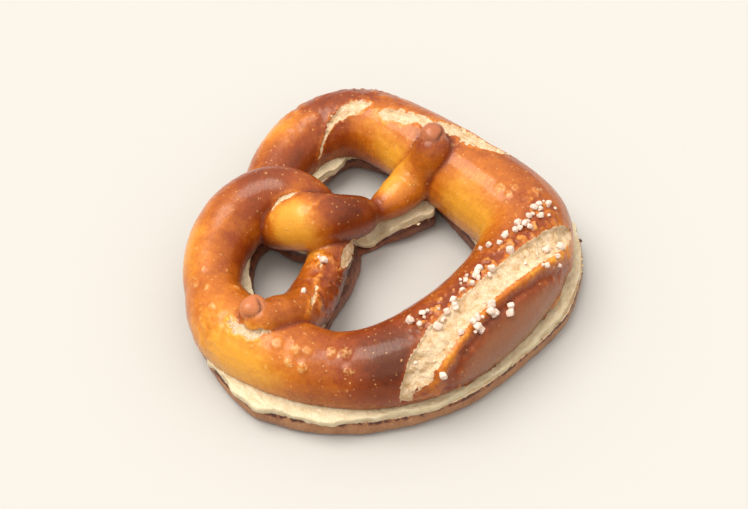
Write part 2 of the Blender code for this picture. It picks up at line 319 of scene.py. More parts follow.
# Where crumbs and flakes lie on the cut: name, x, y, reach, how many
CRUMBED = (
    ("right rim, upper", 74.0, -50.0, 9.0, 48),
    ("right rim, lower", 58.0, -66.0, 9.0, 38),
    ("front rim", 10.0, -78.0, 14.0, 22),
    ("left rim", -72.0, -28.0, 10.0, 26),
    ("left rim, upper", -77.0, 2.0, 9.0, 16),
    ("under the right arm", 38.0, -3.0, 5.0, 10),
)

# A stone flatter than this share of its width lies flat, and others turn any way. A crumb is dropped
# this often at most.
LYING_FLAT = 0.3
MOST_TRIES = 5000

# Where the camera and the lamp stand: azimuth 0 is on the -Y side, and 90 on the +X side
AIM = (1.0, -2.7, 21.9)
VIEW_AZIMUTH = -51.2
VIEW_ELEVATION = 51.0
VIEW_DISTANCE = 720.9
LAMP_AZIMUTH = -156.0
LAMP_ELEVATION = 65.0
LAMP_SPREAD = 42.0

# The even light's share at the horizon and overhead, and the height where it is full
SKY_LOW = 0.25
SKY_HIGH = 1.45
SKY_TOP = 0.85

# Layers of noise on the skins: how strong, how large the lumps are, and the seed
SWELL = ((0.30, 17.0, 1), (0.12, 6.0, 2), (0.03, 1.6, 3))
SLASH_EDGE = ((0.55, 3.6, 4), (0.3, 1.3, 5))
TORN_LUMPS = ((0.85, 3.2, 6), (0.55, 1.4, 7), (0.22, 0.7, 8))
LIP_WAVES = ((0.3, 4.0, 9), (0.2, 1.2, 15))
TEAR_EDGE = ((1.7, 3.2, 17), (0.8, 1.2, 18))
WALL_WAVES = ((0.35, 9.0, 21), (0.22, 3.0, 22), (0.12, 1.2, 23))
FACE_WAVES = ((0.18, 1.6, 24), (0.12, 0.8, 25))


def cloud(points, size, seed):
    """Return smooth noise from -1 to 1 at each point, in lumps of about that size."""
    table = np.random.default_rng(seed).uniform(-1.0, 1.0, (32, 32, 32))
    turned = points @ np.array([[0.8, 0.36, -0.48], [-0.6, 0.48, -0.64], [0.0, 0.8, 0.6]]) / size
    low = np.floor(turned).astype(int)
    part = turned - low
    part = part * part * (3.0 - 2.0 * part)
    total = np.zeros(len(points))
    for corner in itertools.product((0, 1), repeat=3):
        weight = np.prod(np.where(corner, part, 1.0 - part), axis=1)
        x, y, z = ((low + corner) % 32).T
        total += weight * table[x, y, z]
    return total


def ease(values, start, end):
    """Return 0 before start and 1 after end, and a smooth step between them."""
    share = np.clip((values - start) / (end - start), 0.0, 1.0)
    return share * share * (3.0 - 2.0 * share)


def clouds(points, layers):
    """Return the sum of layers of noise."""
    return sum(strength * cloud(points, size, seed) for strength, size, seed in layers)


def bell(values, width):
    """Return 1 where values are 0, and near 0 past that width."""
    return np.exp(-(values / width) ** 2)


def spot(points, x, y, reach):
    """Return 1 on the upright line at x, y, and near 0 past that reach."""
    return bell(np.hypot(points[:, 0] - x, points[:, 1] - y), reach)


def ball(points, x, y, z, reach):
    """Return 1 at a place, and near 0 past that reach."""
    return bell(np.linalg.norm(points - (x, y, z), axis=1), reach)


def band(from_edge, place):
    """Return 1 on a line that runs outside an edge, and near 0 past its width."""
    out, width = place
    return bell(from_edge + out, width)


def natural_spline(knots, values, places):
    """Return a smooth curve through values at knots, read at the given places."""
    count = len(knots)
    gaps = np.diff(knots)
    slopes = np.diff(values) / gaps
    system = np.eye(count)
    right = np.zeros(count)
    for row in range(1, count - 1):
        system[row, row - 1] = gaps[row - 1]
        system[row, row] = 2.0 * (gaps[row - 1] + gaps[row])
        system[row, row + 1] = gaps[row]
        right[row] = 6.0 * (slopes[row] - slopes[row - 1])
    bend = np.linalg.solve(system, right)
    span = np.clip(np.searchsorted(knots, places) - 1, 0, count - 2)
    gap = gaps[span]
    before = knots[span + 1] - places
    after = places - knots[span]
    ends = values[span] * before / gap + values[span + 1] * after / gap
    curve = bend[span] * before * (before ** 2 / gap - gap) / 6.0
    return ends + curve + bend[span + 1] * after * (after ** 2 / gap - gap) / 6.0


class Strand:
    """The middle line of the dough, with its radius and its foot, at even steps."""

    def __init__(self):
        rows = np.array([station[1:] for station in STRAND])
        runs = np.linalg.norm(np.diff(rows[:, :3], axis=0), axis=1)
        knots = np.concatenate([[0.0], np.cumsum(runs)])
        self.along = np.linspace(0.0, knots[-1], STEPS_ALONG)
        self.middle = np.stack(
            [natural_spline(knots, rows[:, axis], self.along) for axis in range(3)], axis=1)
        self.radius, self.foot, self.shift = (
            np.interp(self.along, knots, rows[:, column]) for column in range(3, 6))
        ahead = np.gradient(self.middle[:, :2], axis=0)
        ahead /= np.linalg.norm(ahead, axis=1)[:, None]
        self.aside = np.stack([ahead[:, 1], -ahead[:, 0]], axis=1)

    def foot_line(self):
        """Return the footprint's middle line, its radius and how far along each point is."""
        lies = self.foot >= LEAST_FOOT
        line = self.middle[lies, :2] + self.aside[lies] * self.shift[lies][:, None]
        return np.column_stack([line, np.zeros(len(line))]), self.foot[lies], self.along[lies]

    def lean(self, points):
        """Move points of the lower layers with the flares and the sinks, and return them."""
        line, foot, _ = self.foot_line()
        aside = self.aside[self.foot >= LEAST_FOOT]
        away = points[:, None, :2] - line[None, :, :2]
        step = np.argmin(np.linalg.norm(away, axis=2) / foot, axis=1)
        share = np.einsum("ij,ij->i", away[np.arange(len(points)), step], aside[step]) / foot[step]
        outward = aside[step] * (np.sign(share) * share ** 2)[:, None]
        tilt = 1.0 - FLARE_TURN * np.clip(points[:, 2] / BASE_TOP, 0.0, 1.0)
        kept = np.ones(len(points))
        push = np.zeros(len(points))
        for _, x, y, reach, most in FLARES:
            push += most * spot(points, x, y, reach)
        for _, x, y, reach, lost in SINKS:
            kept -= lost * spot(points, x, y, reach)
        moved = points.copy()
        moved[:, :2] += outward * (push * tilt)[:, None]
        moved[:, 2] -= (1.0 - kept) * np.minimum(points[:, 2], BASE_TOP)
        return moved

    def places(self, points):
        """Return, for each point, how far along and round it lies, and its gap to another pass."""
        along, around, gap = (np.empty(len(points)) for _ in range(3))
        steps = np.arange(STEPS_ALONG)
        for start in range(0, len(points), POINTS_AT_ONCE):
            part = slice(start, start + POINTS_AT_ONCE)
            away = points[part, None, :] - self.middle[None, :, :]
            distance = np.linalg.norm(away, axis=2)
            step = np.argmin(distance / self.radius, axis=1)
            rows = np.arange(len(step))
            nearest = away[rows, step]
            across = np.einsum("ij,ij->i", nearest[:, :2], self.aside[step])
            along[part] = self.along[step]
            around[part] = np.arctan2(nearest[:, 2], across)
            other = np.abs(steps[None, :] - step[:, None]) > OTHER_PASS
            gap[part] = np.min(np.where(other, distance - self.radius, FAR), axis=1)
        return along, around, gap


def closed_seam(points):
    """Return 1 where the lower slice and the upper one are pressed together, and 0 elsewhere."""
    closed = np.zeros(len(points))
    for _, x, y, reach, lost in SINKS:
        closed = np.maximum(closed, spot(points, x, y, reach) * (lost < 0.0))
    return ease(closed, 0.2, 0.6)


def choose(thing):
    """Select one object alone and make it the active one."""
    bpy.ops.object.select_all(action="DESELECT")
    thing.select_set(True)
    bpy.context.view_layer.objects.active = thing


def finish_modifier(thing, kind, **settings):
    """Add a modifier, set it and apply it."""
    choose(thing)
    bpy.ops.object.modifier_add(type=kind)
    added = thing.modifiers[-1]
    for name, value in settings.items():
        setattr(added, name, value)
    bpy.ops.object.modifier_apply(modifier=added.name)


def add_tube(name, points, radii):
    """Return a closed mesh tube along points, with a radius at each of them."""
    bpy.ops.object.select_all(action="DESELECT")
    bpy.ops.curve.primitive_nurbs_path_add()
    curve = bpy.context.object
    curve.name = name
    data = curve.data
    data.bevel_depth = MM
    data.bevel_resolution = RING_SEGMENTS
    data.use_fill_caps = True
    data.splines.clear()
    spline = data.splines.new("POLY")
    spline.points.add(len(points) - 1)
    for target, point, radius in zip(spline.points, points, radii):
        target.co = (*(Vector(point) * MM), 1.0)
        target.radius = radius
    bpy.ops.object.convert(target="MESH")
    made = bpy.context.object
    bpy.ops.object.mode_set(mode="EDIT")
    bpy.ops.mesh.select_all(action="SELECT")
    bpy.ops.mesh.remove_doubles(threshold=0.00001)
    bpy.ops.mesh.normals_make_consistent(inside=False)
    bpy.ops.object.mode_set(mode="OBJECT")
    return made


def one_skin(name, things, voxel, smoothings):
    """Join things into one object and run them into one even skin."""
    choose(things[0])
    for thing in things:
        thing.select_set(True)
    bpy.ops.object.join()
    made = bpy.context.object
    bpy.ops.object.transform_apply(location=True, rotation=True, scale=True)
    made.name = name
    made.data.name = name
    finish_modifier(made, "REMESH", mode="VOXEL", voxel_size=voxel * MM)
    finish_modifier(made, "SMOOTH", factor=0.5, iterations=smoothings)
    return made


def refine(thing, wanted):
    """Cut the wanted faces' edges in half."""
    choose(thing)
    bpy.context.tool_settings.mesh_select_mode = (False, False, True)
    bpy.ops.object.mode_set(mode="EDIT")
    bpy.ops.mesh.select_all(action="DESELECT")
    bpy.ops.object.mode_set(mode="OBJECT")
    thing.data.polygons.foreach_set("select", wanted)
    bpy.ops.object.mode_set(mode="EDIT")
    bpy.ops.mesh.subdivide(number_cuts=1)
    bpy.ops.object.mode_set(mode="OBJECT")


def read(items, name):
    """Return three numbers for each of a mesh's items."""
    flat = np.empty(3 * len(items), np.float32)
    items.foreach_get(name, flat)
    return flat.reshape(-1, 3).astype(float)


def points_of(thing):
    """Return an object's vertices in millimetres."""
    return read(thing.data.vertices, "co") / MM


def normals_of(thing):
    """Return the normal at each vertex."""
    return read(thing.data.vertex_normals, "vector")


def move_points(thing, points):
    """Put an object's vertices at these points, given in millimetres."""
    thing.data.vertices.foreach_set("co", (points * MM).astype(np.float32).ravel())
    thing.data.update()


def store(thing, name, values):
    """Keep a number at each vertex for the material to read."""
    kept = thing.data.attributes.new(name, "FLOAT", "POINT")
    kept.data.foreach_set("value", np.asarray(values, np.float32))


def surface_of(thing):
    """Return a tree that finds places on an object's surface, in metres."""
    return BVHTree.FromObject(thing, bpy.context.evaluated_depsgraph_get())


def drop(tree, x, y):
    """Return the place and normal where something falling at x, y lands, place in millimetres."""
    place, normal, _, _ = tree.ray_cast(Vector((x * MM, y * MM, 0.1)), Vector((0.0, 0.0, -1.0)))
    if place is None:
        return None, None
    return np.array(place) / MM, np.array(normal)


def inside_tear(points, path):
    """Return how far inside a torn patch each point lies, negative outside it."""
    best = np.full(len(points), -FAR)
    stations = np.array(path)
    for start, end in zip(stations[:-1], stations[1:]):
        run = end[:3] - start[:3]
        share = np.clip((points - start[:3]) @ run / (run @ run), 0.0, 1.0)
        nearest = start[:3] + share[:, None] * run
        width = start[3] + share * (end[3] - start[3])
        best = np.maximum(best, width - np.linalg.norm(points - nearest, axis=1))
    return best


def slash_place(points):
    """Return how far each point lies inside the slash's inner edge and inside its outer edge."""
    inner = np.interp(points[:, 0], *np.array(SLASH_INNER).T)
    outer = np.interp(points[:, 0], *np.array(SLASH_OUTER).T)
    from_inner = inner - points[:, 1]
    from_outer = points[:, 1] - outer
    before = np.maximum(SLASH_INNER[0][0] - points[:, 0], points[:, 0] - SLASH_INNER[-1][0])
    beyond = (before > 0.0) | (points[:, 2] < SLASH_FLOOR)
    away = np.where(beyond, OUTSIDE_SLASH, 0.0)
    return from_inner - away, from_outer - away


class Number:
    """A number that changes over a surface: a socket that Python's arithmetic works on."""

    def __init__(self, paint, socket):
        self.paint = paint
        self.socket = socket

    def maths(self, operation, *values):
        """Return the result of a Math node on these values."""
        made = self.paint.node("ShaderNodeMath", {"operation": operation}, dict(enumerate(values)))
        return Number(self.paint, made.outputs[0])

    def __add__(self, other):
        return self.maths("ADD", self, other)

    __radd__ = __add__

    def __sub__(self, other):
        return self.maths("SUBTRACT", self, other)

    def __rsub__(self, other):
        return self.maths("SUBTRACT", other, self)

    def __mul__(self, other):
        return self.maths("MULTIPLY", self, other)

    __rmul__ = __mul__

    def least(self, other):
        """Return the smaller of the two."""
        return self.maths("MINIMUM", self, other)

    def most(self, other):
        """Return the larger of the two."""
        return self.maths("MAXIMUM", self, other)

    def step(self, start, end):
        """Return 0 up to start and 1 from end on, with a smooth step between."""
        settings = {"interpolation_type": "SMOOTHSTEP"}
        values = {"Value": self, "From Min": start, "From Max": end}
        made = self.paint.node("ShaderNodeMapRange", settings, values)
        return Number(self.paint, made.outputs["Result"])


class Paint:
    """A material's nodes."""

    def __init__(self, name):
        self.material = bpy.data.materials.new(name)
        self.material.use_nodes = True
        self.nodes = self.material.node_tree.nodes
        self.links = self.material.node_tree.links
        self.shader = self.nodes["Principled BSDF"]
        self.place = self.node("ShaderNodeTexCoord").outputs["Object"]

    def node(self, kind, settings=None, values=None):
        """Return a new node with its settings made and its sockets given values or links."""
        made = self.nodes.new(kind)
        for name, value in (settings or {}).items():
            if name == "stops":
                self.set_stops(made.color_ramp, value)
            else:
                setattr(made, name, value)
        self.feed(made, values or {})
        return made

    def feed(self, node, values):
        """Give a node's sockets their values or links."""
        for name, value in values.items():
            if isinstance(value, Number):
                value = value.socket
            if isinstance(value, bpy.types.NodeSocket):
                self.links.new(value, node.inputs[name])
            else:
                node.inputs[name].default_value = value

    def set_stops(self, ramp, stops):
        """Give a colour ramp its stops: where each is, and its colour."""
        for _ in range(len(stops) - 2):
            ramp.elements.new(0.5)
        for element, (position, colour) in zip(ramp.elements, stops):
            element.position = position
            element.color = (*colour, 1.0)

    def attribute(self, name):
        """Return a number kept at the mesh's vertices."""
        made = self.node("ShaderNodeAttribute", {"attribute_name": name})
        return Number(self, made.outputs["Fac"])

    def height(self):
        """Return the height above the board, in millimetres."""
        made = self.node("ShaderNodeSeparateXYZ", None, {"Vector": self.place})
        return Number(self, made.outputs["Z"]) * (1.0 / MM)

    def noise(self, size, detail=2.0, place=None):
        """Return noise from -1 to 1 in lumps of about that size in millimetres."""
        values = {"Vector": place or self.place, "Scale": 1.0 / (size * MM), "Detail": detail}
        made = self.node("ShaderNodeTexNoise", None, values)
        return Number(self, made.outputs["Fac"]) * 4.0 - 2.0

    def cells(self, size):
        """Return the distance to the nearest of scattered spots, in millimetres."""
        values = {"Vector": self.place, "Scale": 1.0 / (size * MM)}
        made = self.node("ShaderNodeTexVoronoi", None, values)
        return Number(self, made.outputs["Distance"]) * size

    def ramp(self, factor, stops):
        """Return a colour that changes with factor."""
        made = self.node("ShaderNodeValToRGB", {"stops": stops}, {"Fac": factor})
        return made.outputs["Color"]

    def mix(self, factor, first, second):
        """Return a colour between first and second."""
        made = self.node("ShaderNodeMix", {"data_type": "RGBA"})
        colours = [(*c, 1.0) if isinstance(c, tuple) else c for c in (first, second)]
        sockets = [s for s in made.inputs if s.type == "RGBA"]
        for socket, colour in zip(sockets, colours):
            if isinstance(colour, bpy.types.NodeSocket):
                self.links.new(colour, socket)
            else:
                socket.default_value = colour
        self.links.new(factor.socket, made.inputs[0])
        return next(s for s in made.outputs if s.type == "RGBA")

    def along_and_around(self, size, detail, stretch):
        """Return noise that follows the strand, and is stretched round it by that share."""
        around = self.attribute("around") * (stretch * MM)
        values = {"X": self.attribute("along") * MM, "Y": around}
        made = self.node("ShaderNodeCombineXYZ", None, values)
        return self.noise(size, detail, made.outputs["Vector"])

    def bump(self, height):
        """Feed the shader's normal from a height in millimetres."""
        values = {"Height": height, "Distance": MM, "Strength": BUMP_STRENGTH}
        made = self.node("ShaderNodeBump", None, values)
        self.links.new(made.outputs["Normal"], self.shader.inputs["Normal"])

    def finish(self, colour, values):
        """Give the shader its colour and its other values, and return the material."""
        self.feed(self.shader, {"Base Color": colour, **values})
        return self.material


BUMP_STRENGTH = 0.6

# Colours along a ramp: where each stop is, and its colour
CRUST_STOPS = (
    (0.0, (0.66, 0.285, 0.027)),
    (0.33, (0.46, 0.122, 0.0078)),
    (0.62, (0.235, 0.037, 0.0034)),
    (1.0, (0.080, 0.010, 0.002)),
)
CRUMB_STOPS = (
    (0.0, (0.46, 0.250, 0.100)),
    (0.34, (0.62, 0.405, 0.210)),
    (0.68, (0.76, 0.580, 0.385)),
    (1.0, (0.86, 0.610, 0.310)),
)
BASE_STOPS = (
    (0.0, (0.58, 0.330, 0.150)),
    (0.45, (0.36, 0.160, 0.064)),
    (0.75, (0.19, 0.056, 0.020)),
    (1.0, (0.075, 0.019, 0.009)),
)


def crumb_colour(paint):
    """Return the mottled colour of torn crumb."""
    mottle = 0.5 + 0.30 * paint.noise(3.2, 3.0) + 0.22 * paint.noise(0.9, 3.0)
    return paint.ramp(mottle, CRUMB_STOPS)


def crust_material(settings):
    """Lye crust: glossy, golden to mahogany, with pin blisters, and pale crumb where it tore."""
    paint = Paint("lye crust")
    streaks = paint.along_and_around(0.9, 3.0, 1.0)
    rings = paint.along_and_around(0.8, 2.0, 0.12)
    fine = paint.noise(0.7, 3.0)
    brown = paint.attribute("brown") + 0.10 * paint.noise(7.0, 3.0) + 0.05 * paint.noise(1.8, 3.0)
    brown = brown + 0.03 * streaks
    tear = paint.attribute("tear") + 0.45 * paint.noise(1.4, 3.0)
    torn = tear.step(-0.15, 0.15)
    fringe = tear.step(-2.4, 0.0) * settings.fringe * (0.55 + 0.6 * paint.noise(2.4, 2.0))
    pin = (1.0 - paint.cells(2.7).step(0.26, 0.52)) * paint.noise(9.0, 1.0).step(-0.5, 0.2)
    blister = paint.attribute("blister")
    crusty = blister.step(0.1, 0.5) * paint.noise(1.3, 3.0).step(-0.5, 0.5)
    pale = (fringe.most(0.0) + 0.45 * pin + 0.35 * blister).least(1.0)
    crust = paint.ramp(brown - 0.35 * pale, CRUST_STOPS)
    for share, shade in (
            (pin * 0.55 + crusty * 0.55, (0.60, 0.33, 0.12)),
            (paint.attribute("rough").step(0.15, 0.9) * 0.75, (0.62, 0.27, 0.060)),
            # painted reflection: the side below the slash is mixed toward a dull pinkish brown that stands
            # in for the room it reflects
            (paint.attribute("dull") * 0.75, (0.27, 0.108, 0.050)),
            (paint.attribute("nub") * 0.55, (0.50, 0.170, 0.075)),
            # painted shade: the nubs' creases are mixed nearly to black on the side away from the lamp
            (paint.attribute("crease"), (0.065, 0.014, 0.008))):
        crust = paint.mix(share, crust, shade)
    colour = paint.mix(torn, crust, crumb_colour(paint))
    under = 1.0 - paint.height().step(TOP_FLOOR + 0.05, TOP_FLOOR + 0.25)
    colour = paint.mix(under, colour, (0.56, 0.42, 0.24))
    crumb = torn.most(under)
    skin = fine * 0.06 + rings * 0.14 + streaks * 0.05 + pin * 0.3
    paint.bump(skin * (1.0 - crumb) + crumb * (fine * 0.35 + paint.noise(0.35, 2.0) * 0.2))
    rough = settings.roughness + 0.06 * paint.noise(2.2, 3.0)
    return paint.finish(colour, {
        "Roughness": rough * (1.0 - crumb) + crumb * 0.85,
        "Coat Weight": (1.0 - crumb) * settings.gloss,
        "Coat Roughness": 0.2,
        "Specular IOR Level": 0.3,
        "Specular Tint": (1.0, 0.62, 0.32, 1.0),
    })


def base_material():
    """Lower slice: a matt brown wall, a pale cut face, and a dark line where the two meet."""
    paint = Paint("bottom crust")
    height = paint.attribute("level") + 0.35 * paint.noise(1.5, 3.0)
    face = height.step(BASE_TOP - 0.55, BASE_TOP - 0.35) * (1.0 - paint.attribute("closed"))
    brown = paint.attribute("brown") + 0.14 * paint.noise(6.0, 3.0) + 0.10 * paint.noise(1.2, 3.0)
    rim = height.step(BASE_TOP - 2.4, BASE_TOP - 0.8) * paint.noise(4.0, 4.0).step(-0.35, 0.2)
    wall = paint.ramp(brown + 0.7 * rim, BASE_STOPS)
    colour = paint.mix(face, wall, crumb_colour(paint))
    fine = paint.noise(0.7, 3.0)
    paint.bump(fine * (0.12 + 0.25 * face))
    return paint.finish(colour, {
        "Roughness": 0.45 + 0.4 * face,
        "Coat Weight": (1.0 - face) * 0.15,
        "Coat Roughness": 0.3,
        "Specular IOR Level": 0.4,
    })


def butter_material(settings):
    """Soft butter: pale cream with yellower hollows and fine crumbs pressed into it."""
    paint = Paint("butter")
    tone = 0.5 + 0.25 * paint.noise(5.0, 3.0) + 0.15 * paint.noise(1.2, 2.0)
    colour = paint.ramp(tone, (
        (0.0, (0.45, 0.315, 0.160)), (0.4, tuple(settings.cream)), (1.0, (0.66, 0.555, 0.36))))
    speck = (1.0 - paint.cells(3.4).step(0.12, 0.3)) * paint.noise(6.0, 1.0).step(0.2, 0.6)
    colour = paint.mix(speck, colour, (0.50, 0.28, 0.10))
    paint.bump(paint.noise(0.9, 3.0) * 0.14)
    return paint.finish(colour, {
        "Roughness": 0.42 + 0.08 * paint.noise(2.0, 2.0),
        "Specular IOR Level": 0.45,
        "Subsurface Weight": 0.15,
        "Subsurface Radius": (0.0020, 0.0014, 0.0007),
    })


def salt_material(settings):
    """Coarse salt: white crystals with a faint pink cast."""
    paint = Paint("coarse salt")
    colour = paint.ramp(0.5 + 0.3 * paint.noise(0.8, 2.0), (
        (0.0, (0.54, 0.33, 0.21)), (0.5, tuple(settings.white)), (1.0, (0.84, 0.73, 0.63))))
    paint.bump(paint.noise(0.35, 3.0) * 0.1)
    return paint.finish(colour, {
        "Roughness": 0.38 + 0.1 * paint.noise(0.6, 2.0),
        "Subsurface Weight": 0.3,
        "Subsurface Radius": (0.0012, 0.0011, 0.0010),
    })


def crumb_material():
    """Loose crumbs and flakes: brown crust on some, pale inside on others."""
    paint = Paint("loose crumbs")
    colour = paint.ramp(paint.attribute("brown") + 0.1 * paint.noise(0.8, 2.0), (
        (0.0, (0.86, 0.70, 0.42)), (0.45, (0.70, 0.40, 0.13)), (0.7, (0.30, 0.09, 0.02)),
        (1.0, (0.10, 0.025, 0.008))))
    paint.bump(paint.noise(0.4, 3.0) * 0.12)
    return paint.finish(colour, {"Roughness": 0.6 + 0.15 * paint.noise(0.7, 2.0)})


def floor_material(settings):
    """A plain pale board."""
    paint = Paint("pale board")
    return paint.finish((*settings.board, 1.0), {"Roughness": 0.9, "Specular IOR Level": 0.0})


class PretzelCrust(bpy.types.PropertyGroup):
    """The upper slice: its mesh, its slash and its gloss."""

    fineness: FloatProperty(
        name="Fineness", description="Edge length of the crust's faces",
        default=0.00102, unit="LENGTH")
    slash_depth: FloatProperty(
        name="Slash Depth", description="How deep the torn crumb lies",
        default=0.0019, unit="LENGTH")
    lip: FloatProperty(
        name="Lip", description="How far the crust stands up beside the slash",
        default=0.0014, unit="LENGTH")
    roughness: FloatProperty(
        name="Roughness", description="How matt the crust is", default=0.30, subtype="FACTOR")
    gloss: FloatProperty(
        name="Gloss", description="How strong the lye glaze shines", default=0.40, subtype="FACTOR")
    fringe: FloatProperty(
        name="Golden Fringe", description="How pale the crust is beside a tear",
        default=0.8, subtype="FACTOR")


class PretzelButter(bpy.types.PropertyGroup):
    """The butter between the slices."""

    fineness: FloatProperty(
        name="Fineness", description="Edge length of the butter's faces",
        default=0.00092, unit="LENGTH")
    inset: FloatProperty(
        name="Inset", description="How far its edge stays inside the lower slice",
        default=0.0008, unit="LENGTH")
    cream: FloatVectorProperty(
        name="Cream", description="Colour of the butter",
        default=(0.60, 0.480, 0.290), size=3, subtype="COLOR")


class PretzelSalt(bpy.types.PropertyGroup):
    """The coarse salt and the loose crumbs."""

    grain: FloatProperty(
        name="Grain", description="Size of a middling grain of salt", default=0.0025, unit="LENGTH")
    white: FloatVectorProperty(
        name="White", description="Colour of the salt",
        default=(0.74, 0.565, 0.45), size=3, subtype="COLOR")
    seed: IntProperty(name="Seed", description="Changes how salt and crumbs fell", default=7)


class PretzelStage(bpy.types.PropertyGroup):
    """The board, the lamp and the camera."""

    board: FloatVectorProperty(
        name="Board", description="Colour of the board",
        default=(0.470, 0.446, 0.410), size=3, subtype="COLOR")
    lamp: FloatProperty(name="Lamp", description="Strength of the soft lamp", default=2.7)
    sky: FloatProperty(name="Sky", description="Strength of the even light all round", default=1.1)
    focal: FloatProperty(
        name="Focal Length", description="Lens of the camera in millimetres", default=85.0)


class Crust:
    """The upper slice's skin: how far each point is lifted, and what its material reads."""

    def __init__(self, thing, strand, settings):
        self.thing = thing
        self.strand = strand
        self.settings = settings
        self.points = points_of(thing)
        self.along, around, self.gap = strand.places(self.points)
        self.around = around * AROUND_SCALE
        self.lift = clouds(self.points, SWELL)
        self.lumps = clouds(self.points * (1.0, 0.55, 1.0), TORN_LUMPS)
        self.brown = np.full(len(self.points), EVEN_BROWN)
        self.blister, self.nub, self.crease = (np.zeros(len(self.points)) for _ in range(3))

    def cloud(self, size, seed):
        """Return smooth noise at each point, in lumps of about that size."""
        return cloud(self.points, size, seed)

    def bake(self):
        """Brown the crust with painted light and shade, and press it in and darken it as painted shade
        where two passes meet.
        """
        for _, x, y, z, reach, change in BROWNING_AND_PAINTED_LIGHT:
            self.brown += change * ball(self.points, x, y, z, reach)
        meets = bell(np.maximum(self.gap, 0.0), 1.3)
        self.lift -= 0.45 * meets
        # painted shade: the line where two passes meet is darkened, as well as pressed in
        self.brown += 0.25 * meets

    def cut_slash(self):
        """Sink the slash's torn crumb, and raise its lip over the fold and the side below. The fold and the
        wrinkles' hollows carry painted shade, the lip is lighter partly as painted light, and the side
        below carries a painted reflection.
        """
        from_inner, from_outer = slash_place(self.points)
        ragged = clouds(self.points, SLASH_EDGE)
        from_inner = from_inner + ragged
        from_outer = from_outer + 0.6 * ragged
        self.tear = np.minimum(from_inner, from_outer)
        share = np.clip(from_inner / np.maximum(from_inner + from_outer, 0.5), 0.0, 1.0)
        depth = self.settings.slash_depth / MM
        self.lift -= ease(self.tear, 0.0, 1.1) * (0.55 * depth + 0.45 * depth * np.sin(math.pi * share))
        self.lift += ease(self.tear, 0.2, 1.4) * self.lumps

        x = self.points[:, 0]
        length = ease(x, -48.0, -30.0) * ease(-x, -58.0, -44.0)
        below = length * (from_inner > 0.0)
        lip = below * band(from_outer, LIP_BAND)
        self.lift += lip * self.settings.lip / MM * (1.0 + clouds(self.points, LIP_WAVES))
        # The lip is lighter: partly its paler torn edge, partly painted light where it stands up into the
        # lamp
        self.brown -= 0.24 * lip * (1.0 + 0.6 * self.cloud(2.4, 19))
        fold = below * band(from_outer, FOLD_BAND)
        self.lift -= fold * (0.8 + 0.3 * self.cloud(5.0, 10))
        # painted shade: the groove is darkened where it is pressed in
        self.brown += 0.10 * fold
        wrinkled = below * band(from_outer, WRINKLED_BAND)
        creases = np.abs(cloud(self.points * (1.0, 0.5, 0.5), 1.7, 12))
        self.lift += wrinkled * 0.6 * (creases - 0.3)
        # painted light and shade: darker in the wrinkles' hollows and lighter on their ridges
        self.brown += wrinkled * (0.10 - 0.25 * creases)
        # painted reflection: the side below the slash, away from the lip, is marked for a dull pinkish
        # colour
        self.dull = below * ease(-from_outer, 5.0, 9.0)
        self.rough = length * ease(x, -36.0, -20.0) * band(from_inner, ROUGH_BAND)

    def roughen(self):
        """Raise lumps of baked-in grains above the slash and in the rough places."""
        for _, x, y, reach, height in ROUGH:
            self.rough = np.maximum(self.rough, height * spot(self.points, x, y, reach))
        grains = ease(self.cloud(1.9, 13), -0.25, 0.55) * (0.7 + 0.5 * self.cloud(1.0, 14))
        self.lift += self.rough * (1.5 * grains - 0.3)
        self.brown += self.rough * (0.16 - 0.45 * grains)
        self.rough *= grains

    def wrinkle(self):
        """Pinch the crust into rings round the strand."""
        rings = np.sin(self.along * (2.0 * math.pi / WRINKLE_LENGTH) + self.cloud(4.0, 16))
        for _, x, y, z, reach in WRINKLED:
            self.lift += WRINKLE_HEIGHT * ball(self.points, x, y, z, reach) * rings

    def tear_patches(self):
        """Sink the torn patches and the cracks, with crumb inside and a raised edge round each."""
        ragged = clouds(self.points, TEAR_EDGE)
        for _, cut, path in TEARS:
            patch = inside_tear(self.points, path) + cut * ragged
            self.lift -= cut * ease(patch, -0.1, 0.9)
            self.lift += ease(patch, 0.1, 1.0) * 0.8 * self.lumps
            self.lift += 0.25 * bell(patch + 0.5, 0.6)
            self.tear = np.maximum(self.tear, patch)

    def raise_blisters(self):
        """Raise the blisters, and many small ones that lie at random."""
        random = np.random.default_rng(3)
        small = [(*random.uniform(-BLISTERED_REACH, BLISTERED_REACH, 2),
                  random.uniform(*SMALL_BLISTER_RADIUS), random.uniform(*SMALL_BLISTER_HEIGHT))
                 for _ in range(SMALL_BLISTERS)]
        uneven = 1.0 + 0.9 * self.cloud(1.1, 11)
        tree = surface_of(self.thing)
        for x, y, radius, height in (*BLISTERS, *small):
            place, _ = drop(tree, x, y)
            if place is None or place[2] < TOP_FLOOR + 3.0:
                continue
            away = np.linalg.norm(self.points - place, axis=1) / radius
            dome = np.maximum(1.0 - away ** 2, 0.0) ** 1.5
            self.lift += height * dome * uneven
            self.blister = np.maximum(self.blister, dome)

    def shape_nubs(self):
        """Press a groove round each button, and a crease that curls round its side; the crease's dark
        colour is painted shade on the side away from the lamp.
        """
        for (end, rise, radius), top in zip(NUBS, NUB_TOPS):
            offset = self.points - self.strand.middle[end] - (0.0, 0.0, rise)
            away = np.linalg.norm(offset, axis=1)
            within = 1.0 - ease(away, radius + 0.3, radius + 1.0)
            self.nub = np.maximum(self.nub, within)
            self.lift -= 0.3 * bell(away - radius - 0.9, 0.5)
            self.lift += within * 0.3 * self.cloud(2.6, 20)
            facing = offset @ np.array(top) / np.maximum(away, 0.1)
            curl = within * bell(facing - NUB_CREASE + 0.12 * self.cloud(4.0, 27), 0.08)
            curl *= ease(0.2 * offset[:, 0] - offset[:, 1], -0.3 * radius, 0.5 * radius)
            self.lift -= 0.6 * curl
